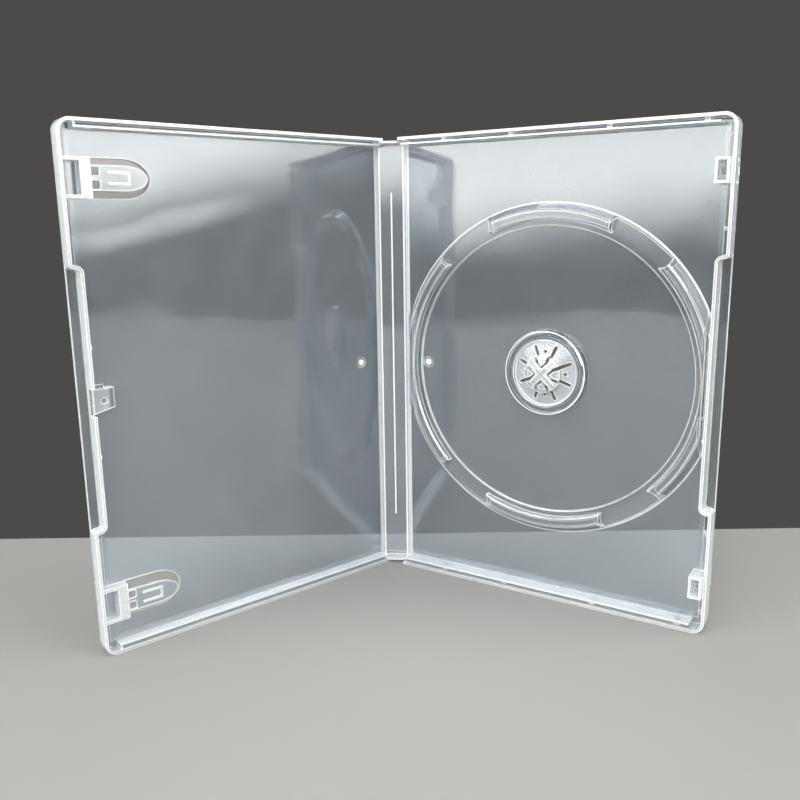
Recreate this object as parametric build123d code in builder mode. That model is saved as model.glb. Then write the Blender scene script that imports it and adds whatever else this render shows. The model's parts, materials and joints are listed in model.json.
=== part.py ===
"""A clear keep case for one disc, standing open like a book.

A tray with a disc hub, a narrow spine and a cover are one moulding, folded along two thin edges.
A clear film sleeve lies in a shallow recess over the outside, to hold a printed insert.
Lengths are in millimetres. The origin is the middle of the tray's foot, below the hub, with +Z up.
"""

from build123d import *
import math
import os

# Overall sizes
CASE_HEIGHT = 190.0
PANEL_WIDTH = 134.7  # hinge axis to free edge
TRAY_DEPTH = 8.0  # outer face to lip
COVER_DEPTH = 5.8
PARTING_GAP = 0.2  # between the two lips when the case is shut
CORNER_RADIUS = 4.5
EDGE_CHAMFER = 0.4

# Moulded walls
FLOOR = 1.3
WALL = 1.1
RIM_GROOVE = 1.3  # between the rim wall and the rib beside it
RIM_RIB = 0.7
RIB_DROP = 0.7  # rib below the lip
RIB_END = 5.7  # rib short of the free edge
NEST_CLEARANCE = 0.2  # spine end wall in the rim groove

# Fold lines and the pose that the case stands in
HINGE_BEAD = 0.3  # radius of the spine's round edges
HINGE_CLEARANCE = 0.1
FOLD_RELIEF = 0.15  # shoulders back from the fold's mitre
TRAY_FOLD = 25.0  # degrees from flat
COVER_FOLD = 47.0  # degrees from flat

# Recess for the insert, and the film over it
ART_RECESS = 0.3
ART_BORDER = 3.4  # raised border along top and bottom
ART_EDGE = 3.7  # raised border along the free edge
FILM = 0.12
FILM_MARGIN = 0.2

# Thumb recess in the free edge
THUMB_LENGTH = 92.6
THUMB_DEPTH = 3.6
THUMB_ROUND = 1.5
NUB_SPACING = 39.0  # two nubs inside each thumb wall
NUB_RADIUS = 0.7

# Disc and its ring
DISC_RADIUS = 60.0
DISC_CLEARANCE = 0.6
RING_CREST = 3.8  # width of the crest
RING_SLOPE = 2.9  # outer slope, in plan
RING_HEIGHT = 5.2
RING_SKIN = 1.1
RING_EDGE_GAP = 1.8  # flat side of the ring to the thumb wall
RING_HINGE_MARGIN = 3.5  # flat side of the ring to the hinge axis
LEDGE_HEIGHT = 2.4
LEDGE_WIDTH = 2.2
DIP_ANGLE = 55.0  # degrees, finger dips above and below the hinge-to-edge line
DIP_SWEEP = 20.0  # degrees
DIP_END_MARGIN = 0.85  # a dip's round end is this much more than the half width of the ring
DIP_END_BACK = 2.0  # the round's middle, from the crest's end into the dip

# Disc hub
SEAT_HEIGHT = 4.4  # the disc rests here
SEAT_RADIUS = 17.0
SEAT_BORE = 13.4
SEAT_TAPER = 0.6
HUB_SKIN = 1.1
HUB_RADIUS = 7.4
HUB_LIP = 0.2
NECK_BASE = 3.9
NECK_TOP = 6.2
DOME_EDGE = 6.9
DOME_TOP = 8.0
BAR_RISE = 0.5
BAR_WIDTH = 2.0
FINGER_COUNT = 4
SLOT_WIDTH = 1.5
SLOT_OUTER = 11.2
BAR_SLOT_WIDTH = 0.9
BAR_STRIP = 0.2  # between a cross bar and the slots beside it
FINGER_HOLE = 1.5
FINGER_HOLE_AT = 8.7

# Small moulded details
LUG_FROM_HINGE = 21.3  # lugs across the tray's rim groove, from the hinge axis
SECOND_LUG_FROM_HINGE = 51.0
LUG_FROM_EDGE = 10.4  # and from the free edge
SECOND_LUG_FROM_EDGE = 44.5
LUG_WIDTH = 1.8
LUG_DROP = 2.0
GUSSET_FROM_END = 6.6  # gussets of the tray's free wall, from the ends of the case
SECOND_GUSSET_FROM_END = 38.5
GUSSET = 2.4
GUSSET_THICK = 0.8
GATE_RADIUS = 2.2
GATE_DEPTH = 0.25
GATE_AT = 11.0  # from the hinge axis
SPINE_WALL_DEPTH = 6.4
SPINE_WALL_ROUND = 3.0
SPINE_RIB_LENGTH = 145.0
SPINE_RIB_WIDTH = 0.9
SPINE_RIB_HEIGHT = 0.5

# Booklet clips on the cover, and the tray's catches that enter their frames
CLIP_FROM_END = 19.0  # clip's middle line to the end of the case
CLIP_HOLE_WIDTH = 13.4
CLIP_HOLE_TIP = 32.2  # from the free edge
CLIP_HOLE_NOSE = 9.7  # length of the opening's oval end
CLIP_FRAME_EDGE = 10.3  # frame's inner edge, from the free edge
CLIP_POCKET_EDGE = 6.7
CLIP_WALL = 1.1
CLIP_TOP = 5.0
CLIP_PLATE = 1.0
TONGUE_WIDTH = 8.5
TONGUE_TIP = 29.9
TONGUE_NOSE = 8.2  # length of the tongue's oval end
NECK_WINDOW = 2.8
NECK_STRIP = 1.6
NECK_BAR = 0.9
TONGUE_RIB_START = 15.9  # ribs of the tongue, from the free edge
TONGUE_RIB_TIP = 23.4
TONGUE_RIB_SPACING = 3.7
TONGUE_RIB = 0.6
TONGUE_RIB_HEIGHT = 0.4
CATCH_LENGTH = 8.6
CATCH_WALL = 0.9
CATCH_REACH = 1.6  # above the tray's lip
CATCH_CLEARANCE = 0.4
CATCH_WINDOW = 3.0

# Latch pad on the cover's thumb wall
LATCH_LENGTH = 9.0
LATCH_REACH = 8.6  # from the thumb wall's outer face
LATCH_TAPER = 1.9
LATCH_TOP = 3.3
LATCH_NOTCH = 2.3
LATCH_NOTCH_MARGIN = 0.4
LATCH_SLOT = 1.0
LATCH_SLOT_REACH = 5.6
LATCH_DIMPLE = 1.2
LATCH_DIMPLE_DEPTH = 0.5

# Sizes that follow from those above
MID_HEIGHT = CASE_HEIGHT / 2
HINGE_AXIS = ART_RECESS + HINGE_BEAD
SPINE_WIDTH = TRAY_DEPTH + COVER_DEPTH + PARTING_GAP - 2 * HINGE_AXIS
GROOVE_RADIUS = HINGE_BEAD + HINGE_CLEARANCE
SHOULDER = FOLD_RELIEF + FLOOR - HINGE_AXIS
RIM_START = GROOVE_RADIUS + HINGE_CLEARANCE / 2
RIB_START = SHOULDER + HINGE_CLEARANCE + HINGE_BEAD
SPINE_INSET = WALL + NEST_CLEARANCE
SPINE_WALL = RIM_GROOVE - 2 * NEST_CLEARANCE
RING_INNER = DISC_RADIUS + DISC_CLEARANCE
RING_FLAT = RING_INNER + RING_SKIN
RING_OUTER = RING_INNER + RING_CREST + RING_SLOPE
RING_MIDDLE = (RING_INNER + RING_OUTER) / 2
DIP_END_RADIUS = (RING_OUTER - RING_INNER) / 2 + DIP_END_MARGIN
HUB_FROM_EDGE = THUMB_DEPTH + WALL + RING_EDGE_GAP + RING_FLAT
HUB_FROM_HINGE = PANEL_WIDTH - HUB_FROM_EDGE
HALF_FINGER = 180 / FINGER_COUNT / 2  # degrees
SLOT_INNER = (BAR_WIDTH / 2 + BAR_STRIP + SLOT_WIDTH / 2) / math.sin(math.radians(HALF_FINGER))
CLIP_HEIGHTS = (CLIP_FROM_END, CASE_HEIGHT - CLIP_FROM_END)
OVERCUT = 0.5  # cutters run past the faces they open


def panel_plane(axis, fold):
    """A panel's own plane: x along the panel, y up, z inward, and z = 0 on its outer border."""
    turn = math.radians(fold)
    inward = Vector(math.sin(turn), -math.cos(turn), 0)
    along = Vector(math.cos(turn), math.sin(turn), 0)
    return Plane(origin=axis - inward * HINGE_AXIS, x_dir=along, z_dir=inward)


def section_plane(plane, height=0.0):
    """A level cut through a panel: x along the panel, y outward and z up."""
    origin = plane.origin + Vector(0, 0, height)
    return Plane(origin=origin, x_dir=plane.x_dir, z_dir=(0, 0, 1))


tray_axis = Vector(-HUB_FROM_HINGE, TRAY_DEPTH / 2 - HINGE_AXIS, 0)
tray_plane = panel_plane(tray_axis, 0)
spine_plane = panel_plane(tray_axis, TRAY_FOLD)
cover_axis = tray_axis - spine_plane.x_dir * SPINE_WIDTH
cover_plane = panel_plane(cover_axis, TRAY_FOLD + COVER_FOLD)
TRAY_SIDE = 1  # the tray runs along its plane's +x, the cover along -x
COVER_SIDE = -1


def span(side, near, far, low, high, mode=Mode.ADD):
    """A rectangle of a panel, from one distance from the hinge axis to another, in the current sketch."""
    with Locations((side * (near + far) / 2, (low + high) / 2)):
        Rectangle(far - near, high - low, mode=mode)


def panel_outline(sketch, side, start):
    """The panel's outline, square at the hinge and round at its free corners."""
    span(side, start, PANEL_WIDTH, 0, CASE_HEIGHT)
    free_corners = sketch.vertices().sort_by(lambda corner: side * corner.X)[-2:]
    fillet(free_corners, CORNER_RADIUS)


def panel_floor(plane, side):
    """The flat floor, with bevelled outer edges, a hollow along the fold line and a recess for the insert."""
    with BuildSketch(plane) as outline:
        panel_outline(outline, side, 0)
    floor = extrude(outline.sketch, amount=FLOOR)
    outer_face = floor.faces().sort_by(Axis(plane.origin, plane.z_dir))[0]
    rim_edges = outer_face.edges().sort_by(Axis(plane.origin, plane.x_dir * side))[1:]
    chamfer(rim_edges, EDGE_CHAMFER)
    rise = FLOOR - HINGE_AXIS + OVERCUT
    with BuildSketch(section_plane(plane)) as fold:
        with Locations((0, -HINGE_AXIS)):
            Circle(GROOVE_RADIUS)
        with BuildLine():
            Polyline(
                (0, -HINGE_AXIS),
                (side * FOLD_RELIEF, -HINGE_AXIS),
                (side * (FOLD_RELIEF + rise), -HINGE_AXIS - rise),
                (0, -HINGE_AXIS - rise),
                close=True,
            )
        make_face()
    extrude(fold.sketch, amount=CASE_HEIGHT, mode=Mode.SUBTRACT)
    with BuildSketch(plane) as recess:
        span(side, -OVERCUT, PANEL_WIDTH - ART_EDGE, ART_BORDER, CASE_HEIGHT - ART_BORDER)
    extrude(recess.sketch, amount=ART_RECESS, mode=Mode.SUBTRACT)


def rim_wall(plane, side, depth):
    """The wall round three sides, set back at the thumb recess, with a rib along top and bottom."""
    with BuildSketch(plane.offset(FLOOR)) as wall:
        panel_outline(wall, side, -2 * WALL)
        thumb_low = MID_HEIGHT - THUMB_LENGTH / 2
        thumb_high = MID_HEIGHT + THUMB_LENGTH / 2
        span(
            side,
            PANEL_WIDTH - THUMB_DEPTH,
            PANEL_WIDTH + THUMB_DEPTH,
            thumb_low,
            thumb_high,
            mode=Mode.SUBTRACT,
        )
        notch = wall.vertices().filter_by(lambda corner: thumb_low - WALL < corner.Y < thumb_high + WALL)
        fillet(notch, THUMB_ROUND)
        offset(amount=-WALL, mode=Mode.SUBTRACT)
        span(side, -3 * WALL, RIM_START, -WALL, CASE_HEIGHT + WALL, mode=Mode.SUBTRACT)
    extrude(wall.sketch, amount=depth - FLOOR)
    with BuildSketch(plane.offset(FLOOR)) as ribs:
        for low in rim_rib_levels():
            span(side, RIB_START, PANEL_WIDTH - RIB_END, low, low + RIM_RIB)
    extrude(ribs.sketch, amount=depth - RIB_DROP - FLOOR)


def rim_rib_levels():
    """The lower edges of the bottom and the top rim rib."""
    first = WALL + RIM_GROOVE
    return first, CASE_HEIGHT - first - RIM_RIB


def rim_bridges(plane, side, stations, width, height):
    """Short webs across the rim grooves, from the wall to the rib."""
    with BuildSketch(plane.offset(FLOOR)) as webs:
        for station in stations:
            for low in (WALL / 2, CASE_HEIGHT - WALL - RIM_GROOVE - RIM_RIB / 2):
                span(
                    side,
                    station - width / 2,
                    station + width / 2,
                    low,
                    low + WALL / 2 + RIM_GROOVE + RIM_RIB / 2,
                )
    extrude(webs.sketch, amount=height - FLOOR)


def thumb_nubs(plane, side, depth):
    """Two upright half-round nubs on the inner side of the thumb wall."""
    inner_face = PANEL_WIDTH - THUMB_DEPTH - WALL
    with BuildSketch(plane.offset(FLOOR)) as nubs:
        with Locations((side * inner_face, MID_HEIGHT)):
            with GridLocations(0, NUB_SPACING, 1, 2):
                Circle(NUB_RADIUS)
        span(
            side,
            inner_face + WALL / 2,
            PANEL_WIDTH,
            MID_HEIGHT - NUB_SPACING,
            MID_HEIGHT + NUB_SPACING,
            mode=Mode.SUBTRACT,
        )
    extrude(nubs.sketch, amount=depth - RIB_DROP - FLOOR)


def gate_mark(plane, side):
    """A shallow round dimple where the plastic entered the mould."""
    with BuildSketch(plane.offset(FLOOR)) as gate:
        with Locations((side * GATE_AT, MID_HEIGHT)):
            Circle(GATE_RADIUS)
    extrude(gate.sketch, amount=-GATE_DEPTH, mode=Mode.SUBTRACT)


def film_sheet(plane, near, far):
    """A stretch of the clear film, lying in the recess of the outer face."""
    with BuildSketch(plane.offset(ART_RECESS)) as film:
        film_low = ART_BORDER + FILM_MARGIN
        with Locations(((near + far) / 2, MID_HEIGHT)):
            Rectangle(abs(far - near), CASE_HEIGHT - 2 * film_low)
    extrude(film.sketch, amount=-FILM)


# The hub's axis runs inward from the tray, and these planes hold it
hub_axis = Axis(tray_plane.origin + Vector(HUB_FROM_HINGE, 0, MID_HEIGHT), tray_plane.z_dir)
hub_plane = Plane(origin=hub_axis.position, x_dir=tray_plane.x_dir, z_dir=tray_plane.z_dir)


def radial_plane(angle):
    """A plane through the hub's axis: x away from the axis, y inward from the outer face."""
    outward = hub_plane.x_dir.rotate(hub_axis, angle)
    return Plane(origin=hub_axis.position, x_dir=outward, z_dir=outward.cross(hub_plane.z_dir))


def ring_arcs():
    """Start and sweep of each raised stretch of the disc ring, between the finger dips."""
    end_sweep = 180 - 2 * DIP_ANGLE - DIP_SWEEP
    side_sweep = 2 * DIP_ANGLE - DIP_SWEEP
    return (
        (DIP_ANGLE + DIP_SWEEP / 2, end_sweep),
        (180 - DIP_ANGLE + DIP_SWEEP / 2, side_sweep),
        (180 + DIP_ANGLE + DIP_SWEEP / 2, end_sweep),
        (-DIP_ANGLE + DIP_SWEEP / 2, side_sweep),
    )


def ring_sides(sketch_plane, trim, height):
    """A block between the ring's two flat sides, for cutting the ring's rounds to them."""
    hinge_side = RING_HINGE_MARGIN - HUB_FROM_HINGE + trim
    edge_side = RING_FLAT - trim
    with BuildSketch(sketch_plane) as block:
        with Locations(((hinge_side + edge_side) / 2, 0)):
            Rectangle(edge_side - hinge_side, 2 * RING_OUTER)
    return extrude(block.sketch, amount=height, mode=Mode.PRIVATE)


with BuildPart() as ring:
    with BuildSketch(radial_plane(0)):
        with BuildLine():
            Polyline(
                (RING_INNER - LEDGE_WIDTH, FLOOR / 2),
                (RING_OUTER, FLOOR / 2),
                (RING_OUTER, FLOOR),
                (RING_OUTER - RING_SLOPE / 3, LEDGE_HEIGHT),
                (RING_INNER - LEDGE_WIDTH, LEDGE_HEIGHT),
                close=True,
            )
        make_face()
    revolve(axis=hub_axis)
    for start, sweep in ring_arcs():
        with BuildSketch(radial_plane(start)) as crest:
            with BuildLine():
                Polyline(
                    (RING_INNER, FLOOR),
                    (RING_OUTER, FLOOR),
                    (RING_INNER + RING_CREST, RING_HEIGHT),
                    (RING_INNER, RING_HEIGHT),
                    close=True,
                )
            make_face()
            crest_corners = crest.vertices().sort_by(Axis.Y)[-2:]
            chamfer(crest_corners, EDGE_CHAMFER)
        revolve(axis=hub_axis, revolution_arc=sweep)
    back_angle = math.degrees(DIP_END_BACK / RING_MIDDLE)
    with BuildSketch(hub_plane.offset(LEDGE_HEIGHT)) as dip_ends:
        for start, sweep in ring_arcs():
            for end_angle in (start - back_angle, start + sweep + back_angle):
                with PolarLocations(RING_MIDDLE, 1, start_angle=end_angle):
                    Circle(DIP_END_RADIUS)
    extrude(dip_ends.sketch, amount=RING_HEIGHT, mode=Mode.SUBTRACT)
    add(ring_sides(hub_plane, 0, RING_HEIGHT), mode=Mode.INTERSECT)

with BuildPart() as ring_hollow:
    clear_angle = math.degrees((RING_SKIN + DIP_END_RADIUS - DIP_END_BACK) / RING_INNER)
    hollow_top = RING_HEIGHT - RING_SKIN
    for start, sweep in ring_arcs():
        with BuildSketch(radial_plane(start + clear_angle)):
            with BuildLine():
                Polyline(
                    (RING_INNER + RING_SKIN, ART_RECESS - OVERCUT),
                    (RING_OUTER - RING_SKIN, ART_RECESS - OVERCUT),
                    (RING_OUTER - RING_SKIN, ART_RECESS),
                    (RING_INNER + RING_CREST - RING_SKIN / 2, hollow_top),
                    (RING_INNER + RING_SKIN, hollow_top),
                    close=True,
                )
            make_face()
        revolve(axis=hub_axis, revolution_arc=sweep - 2 * clear_angle)
    add(ring_sides(hub_plane.offset(-OVERCUT), RING_SKIN, RING_HEIGHT), mode=Mode.INTERSECT)

with BuildPart() as hub:
    with BuildSketch(radial_plane(0)):
        seat_skin = SEAT_HEIGHT - HUB_SKIN
        well_floor = NECK_BASE - HUB_SKIN
        with BuildLine():
            Polyline(
                (SEAT_RADIUS + SEAT_TAPER, ART_RECESS),
                (SEAT_RADIUS + SEAT_TAPER, FLOOR),
                (SEAT_RADIUS, SEAT_HEIGHT),
                (SEAT_BORE, SEAT_HEIGHT),
                (SEAT_BORE, well_floor),
                (HUB_RADIUS, NECK_BASE),
                (HUB_RADIUS, NECK_TOP),
                (HUB_RADIUS + HUB_LIP, NECK_TOP + HUB_LIP),
                (HUB_RADIUS + HUB_LIP, DOME_EDGE - HUB_LIP),
                (HUB_RADIUS, DOME_EDGE),
            )
            ThreePointArc(
                (HUB_RADIUS, DOME_EDGE),
                (HUB_RADIUS / 2, DOME_TOP - (DOME_TOP - DOME_EDGE) / 4),
                (0, DOME_TOP),
            )
            Polyline(
                (0, DOME_TOP),
                (0, DOME_TOP - HUB_SKIN),
                (HUB_RADIUS - HUB_SKIN, DOME_EDGE - HUB_SKIN),
                (HUB_RADIUS - HUB_SKIN, well_floor),
                (SEAT_BORE, well_floor - HUB_SKIN),
                (SEAT_BORE + HUB_SKIN, well_floor - HUB_SKIN),
                (SEAT_BORE + HUB_SKIN, seat_skin),
                (SEAT_RADIUS - HUB_SKIN, seat_skin),
                (SEAT_RADIUS - HUB_SKIN + SEAT_TAPER, ART_RECESS),
                (SEAT_RADIUS + SEAT_TAPER, ART_RECESS),
            )
        make_face()
    revolve(axis=hub_axis)
    for diagonal in (45, 135):
        with BuildSketch(radial_plane(diagonal)):
            with BuildLine():
                Polyline(
                    (HUB_RADIUS, DOME_EDGE),
                    (HUB_RADIUS, NECK_TOP),
                    (HUB_RADIUS - HUB_SKIN, DOME_EDGE - HUB_SKIN),
                    (HUB_SKIN - HUB_RADIUS, DOME_EDGE - HUB_SKIN),
                    (-HUB_RADIUS, NECK_TOP),
                    (-HUB_RADIUS, DOME_EDGE),
                )
                ThreePointArc(
                    (-HUB_RADIUS, DOME_EDGE),
                    (0, DOME_TOP + BAR_RISE),
                    (HUB_RADIUS, DOME_EDGE),
                )
            make_face()
        extrude(amount=BAR_WIDTH / 2, both=True)
    corner_at = SLOT_INNER * math.sin(math.radians(HALF_FINGER))
    tip_at = corner_at * math.sqrt(2)
    corner_out = SLOT_INNER * math.cos(math.radians(HALF_FINGER))
    middle = Vector((corner_out + tip_at) / 2, corner_at / 2)
    middle_angle = math.degrees(math.atan2(middle.Y, middle.X))
    side_slot = math.hypot(corner_out - tip_at, corner_at)
    with BuildSketch(hub_plane) as slots:
        with PolarLocations((SLOT_INNER + SLOT_OUTER) / 2, 2 * FINGER_COUNT, start_angle=HALF_FINGER):
            SlotCenterToCenter(SLOT_OUTER - SLOT_INNER, SLOT_WIDTH)
        for lean in (1, -1):
            with PolarLocations(middle.length, FINGER_COUNT, start_angle=lean * middle_angle):
                SlotCenterToCenter(side_slot, BAR_SLOT_WIDTH, rotation=lean * (45 - middle_angle))
        with PolarLocations(FINGER_HOLE_AT, FINGER_COUNT):
            Rectangle(FINGER_HOLE, FINGER_HOLE)
    extrude(amount=DOME_TOP + BAR_RISE + OVERCUT, mode=Mode.SUBTRACT)

lug_stations = (
    LUG_FROM_HINGE,
    SECOND_LUG_FROM_HINGE,
    PANEL_WIDTH - SECOND_LUG_FROM_EDGE,
    PANEL_WIDTH - LUG_FROM_EDGE,
)
with BuildPart() as tray:
    panel_floor(tray_plane, TRAY_SIDE)
    rim_wall(tray_plane, TRAY_SIDE, TRAY_DEPTH)
    rim_bridges(tray_plane, TRAY_SIDE, lug_stations, LUG_WIDTH, TRAY_DEPTH - LUG_DROP)
    thumb_nubs(tray_plane, TRAY_SIDE, TRAY_DEPTH)
    gate_mark(tray_plane, TRAY_SIDE)
    add(ring.part)
    add(ring_hollow.part, mode=Mode.SUBTRACT)
    with BuildSketch(hub_plane):
        Circle(SEAT_RADIUS)
    extrude(amount=FLOOR, mode=Mode.SUBTRACT)
    add(hub.part)
    # Hollow catches beside the free wall, open at the top
    catch_far = PANEL_WIDTH - WALL - CATCH_CLEARANCE
    catch_near = PANEL_WIDTH - CLIP_POCKET_EDGE + CATCH_CLEARANCE
    with BuildSketch(tray_plane.offset(FLOOR)):
        for middle_line in CLIP_HEIGHTS:
            low = middle_line - CATCH_LENGTH / 2
            high = middle_line + CATCH_LENGTH / 2
            span(TRAY_SIDE, catch_near, catch_far, low, high)
            span(
                TRAY_SIDE,
                catch_near + CATCH_WALL,
                catch_far - CATCH_WALL,
                low + CATCH_WALL,
                high - CATCH_WALL,
                mode=Mode.SUBTRACT,
            )
    extrude(amount=TRAY_DEPTH + CATCH_REACH - FLOOR)
    with BuildSketch(tray_plane):
        for middle_line in CLIP_HEIGHTS:
            span(
                TRAY_SIDE,
                catch_near + CATCH_WALL,
                catch_far - CATCH_WALL,
                middle_line - CATCH_WINDOW / 2,
                middle_line + CATCH_WINDOW / 2,
            )
    extrude(amount=FLOOR, mode=Mode.SUBTRACT)
    # Ties between the catches and the free wall, below the lip
    with BuildSketch(tray_plane.offset(FLOOR)):
        for middle_line in CLIP_HEIGHTS:
            low = middle_line - CATCH_LENGTH / 2
            high = middle_line + CATCH_LENGTH / 2
            span(TRAY_SIDE, catch_far - CATCH_WALL / 2, PANEL_WIDTH - WALL / 2, low, high)
    extrude(amount=TRAY_DEPTH - RIB_DROP - FLOOR)
    # Gussets in the foot of the free wall
    for from_end in (GUSSET_FROM_END, SECOND_GUSSET_FROM_END):
        for level in (from_end, CASE_HEIGHT - from_end):
            with BuildSketch(section_plane(tray_plane, level)):
                wall_face = PANEL_WIDTH - WALL
                with BuildLine():
                    Polyline(
                        (wall_face + WALL / 2, -FLOOR),
                        (wall_face - GUSSET, -FLOOR),
                        (wall_face, -FLOOR - 2 * GUSSET),
                        (wall_face + WALL / 2, -FLOOR - 2 * GUSSET),
                        close=True,
                    )
                make_face()
            extrude(amount=GUSSET_THICK / 2, both=True)

with BuildPart() as spine:
    with BuildSketch(section_plane(spine_plane, SPINE_INSET)) as profile:
        web_rise = HINGE_BEAD * 0.8
        shoulder_foot = FOLD_RELIEF + web_rise
        inner = -FLOOR
        with BuildLine():
            Polyline(
                (0, -ART_RECESS),
                (0, -HINGE_AXIS - web_rise),
                (-shoulder_foot, -HINGE_AXIS - web_rise),
                (-SHOULDER, inner),
                (SHOULDER - SPINE_WIDTH, inner),
                (shoulder_foot - SPINE_WIDTH, -HINGE_AXIS - web_rise),
                (-SPINE_WIDTH, -HINGE_AXIS - web_rise),
                (-SPINE_WIDTH, -ART_RECESS),
                close=True,
            )
        make_face()
        with Locations((0, -HINGE_AXIS), (-SPINE_WIDTH, -HINGE_AXIS)):
            Circle(HINGE_BEAD)
    extrude(amount=CASE_HEIGHT - 2 * SPINE_INSET)
    spine_border = ART_BORDER - SPINE_INSET
    for low in (SPINE_INSET, CASE_HEIGHT - ART_BORDER):
        with BuildSketch(spine_plane):
            span(COVER_SIDE, SHOULDER, SPINE_WIDTH - SHOULDER, low, low + spine_border)
        extrude(amount=FLOOR)
    end_wall_side = FLOOR - HINGE_AXIS + HINGE_BEAD
    for level in (SPINE_INSET, CASE_HEIGHT - SPINE_INSET - SPINE_WALL):
        with BuildSketch(section_plane(spine_plane, level)) as end_wall:
            with Locations((-SPINE_WIDTH / 2, -(SPINE_WALL_DEPTH + ART_RECESS) / 2)):
                Rectangle(SPINE_WIDTH - 2 * end_wall_side, SPINE_WALL_DEPTH - ART_RECESS)
            fillet(end_wall.vertices().sort_by(Axis.Y)[:2], SPINE_WALL_ROUND)
        extrude(amount=SPINE_WALL)
    with BuildSketch(spine_plane.offset(FLOOR)):
        with Locations((-SPINE_WIDTH / 2, MID_HEIGHT)):
            SlotOverall(SPINE_RIB_LENGTH, SPINE_RIB_WIDTH, rotation=90)
    extrude(amount=SPINE_RIB_HEIGHT)

with BuildPart() as cover:
    panel_floor(cover_plane, COVER_SIDE)
    rim_wall(cover_plane, COVER_SIDE, COVER_DEPTH)
    hook_at = PANEL_WIDTH - RIB_END - RIM_RIB / 2
    rim_bridges(cover_plane, COVER_SIDE, (hook_at,), RIM_RIB, COVER_DEPTH - RIB_DROP)
    thumb_nubs(cover_plane, COVER_SIDE, COVER_DEPTH)
    gate_mark(cover_plane, COVER_SIDE)
    frame_far = PANEL_WIDTH - WALL / 2
    frame_near = PANEL_WIDTH - CLIP_FRAME_EDGE
    pocket_near = PANEL_WIDTH - CLIP_POCKET_EDGE
    for middle_line in CLIP_HEIGHTS:
        frame_low = middle_line - CLIP_HOLE_WIDTH / 2
        frame_high = middle_line + CLIP_HOLE_WIDTH / 2
        inner_low = frame_low + CLIP_WALL
        inner_high = frame_high - CLIP_WALL
        # Frame round the pocket that takes the tray's catch, and the clip's root plate
        with BuildSketch(cover_plane.offset(FLOOR)):
            span(COVER_SIDE, frame_near, frame_far, frame_low, frame_high)
            span(COVER_SIDE, pocket_near, PANEL_WIDTH - WALL, inner_low, inner_high, mode=Mode.SUBTRACT)
        extrude(amount=CLIP_TOP - FLOOR)
        # Opening below the tongue, and the hollow below its root
        nose_start = PANEL_WIDTH - CLIP_HOLE_TIP + CLIP_HOLE_NOSE
        with BuildSketch(cover_plane):
            span(COVER_SIDE, nose_start, frame_near, frame_low, frame_high)
            with Locations((COVER_SIDE * nose_start, middle_line)):
                Ellipse(CLIP_HOLE_NOSE, CLIP_HOLE_WIDTH / 2)
        extrude(amount=FLOOR, mode=Mode.SUBTRACT)
        with BuildSketch(cover_plane):
            span(COVER_SIDE, frame_near - OVERCUT, pocket_near - CLIP_WALL, inner_low, inner_high)
        extrude(amount=CLIP_TOP - CLIP_PLATE, mode=Mode.SUBTRACT)
        # Sprung tongue with two windows at its neck
        tongue_half = TONGUE_WIDTH / 2
        tip_start = PANEL_WIDTH - TONGUE_TIP + TONGUE_NOSE
        window_far = frame_near
        window_near = frame_near - NECK_WINDOW
        with BuildSketch(cover_plane.offset(CLIP_TOP - CLIP_PLATE)):
            span(
                COVER_SIDE,
                tip_start,
                frame_near + CLIP_PLATE,
                middle_line - tongue_half,
                middle_line + tongue_half,
            )
            with Locations((COVER_SIDE * tip_start, middle_line)):
                Ellipse(TONGUE_NOSE, tongue_half)
            for above in (1, -1):
                near_edge = middle_line + above * NECK_STRIP / 2
                far_edge = middle_line + above * (NECK_STRIP / 2 + NECK_WINDOW)
                span(
                    COVER_SIDE,
                    window_near,
                    window_far,
                    min(near_edge, far_edge),
                    max(near_edge, far_edge),
                    mode=Mode.SUBTRACT,
                )
        extrude(amount=CLIP_PLATE)
        # Low U-shaped rib on the tongue
        rib_near = PANEL_WIDTH - TONGUE_RIB_TIP
        rib_far = PANEL_WIDTH - TONGUE_RIB_START
        rib_out = TONGUE_RIB_SPACING / 2 + TONGUE_RIB / 2
        rib_in = TONGUE_RIB_SPACING / 2 - TONGUE_RIB / 2
        with BuildSketch(cover_plane.offset(CLIP_TOP)):
            span(COVER_SIDE, rib_near, rib_far, middle_line - rib_out, middle_line + rib_out)
            span(
                COVER_SIDE,
                rib_near + TONGUE_RIB,
                rib_far + OVERCUT,
                middle_line - rib_in,
                middle_line + rib_in,
                mode=Mode.SUBTRACT,
            )
        extrude(amount=TONGUE_RIB_HEIGHT)
    # Latch pad behind a notch in the thumb wall, with a slot through the floor above it
    wall_out = PANEL_WIDTH - THUMB_DEPTH
    pad_low = MID_HEIGHT - LATCH_LENGTH / 2
    pad_high = MID_HEIGHT + LATCH_LENGTH / 2
    with BuildSketch(cover_plane.offset(LATCH_NOTCH)):
        span(
            COVER_SIDE,
            wall_out - WALL - OVERCUT,
            wall_out + OVERCUT,
            pad_low - LATCH_NOTCH_MARGIN,
            pad_high + LATCH_NOTCH_MARGIN,
        )
    extrude(amount=COVER_DEPTH, mode=Mode.SUBTRACT)
    with BuildSketch(cover_plane.offset(FLOOR)):
        with BuildLine():
            Polyline(
                (-wall_out + WALL, pad_low),
                (-wall_out + LATCH_REACH, pad_low + LATCH_TAPER),
                (-wall_out + LATCH_REACH, pad_high),
                (-wall_out + WALL, pad_high),
                close=True,
            )
        make_face()
    extrude(amount=LATCH_TOP - FLOOR)
    with BuildSketch(cover_plane.offset(LATCH_TOP)):
        with Locations((-wall_out + (WALL + LATCH_REACH) / 2, MID_HEIGHT)):
            Circle(LATCH_DIMPLE)
    extrude(amount=-LATCH_DIMPLE_DEPTH, mode=Mode.SUBTRACT)
    with BuildSketch(cover_plane):
        span(COVER_SIDE, wall_out - LATCH_SLOT_REACH, wall_out - WALL, pad_high, pad_high + LATCH_SLOT)
    extrude(amount=FLOOR, mode=Mode.SUBTRACT)

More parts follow.
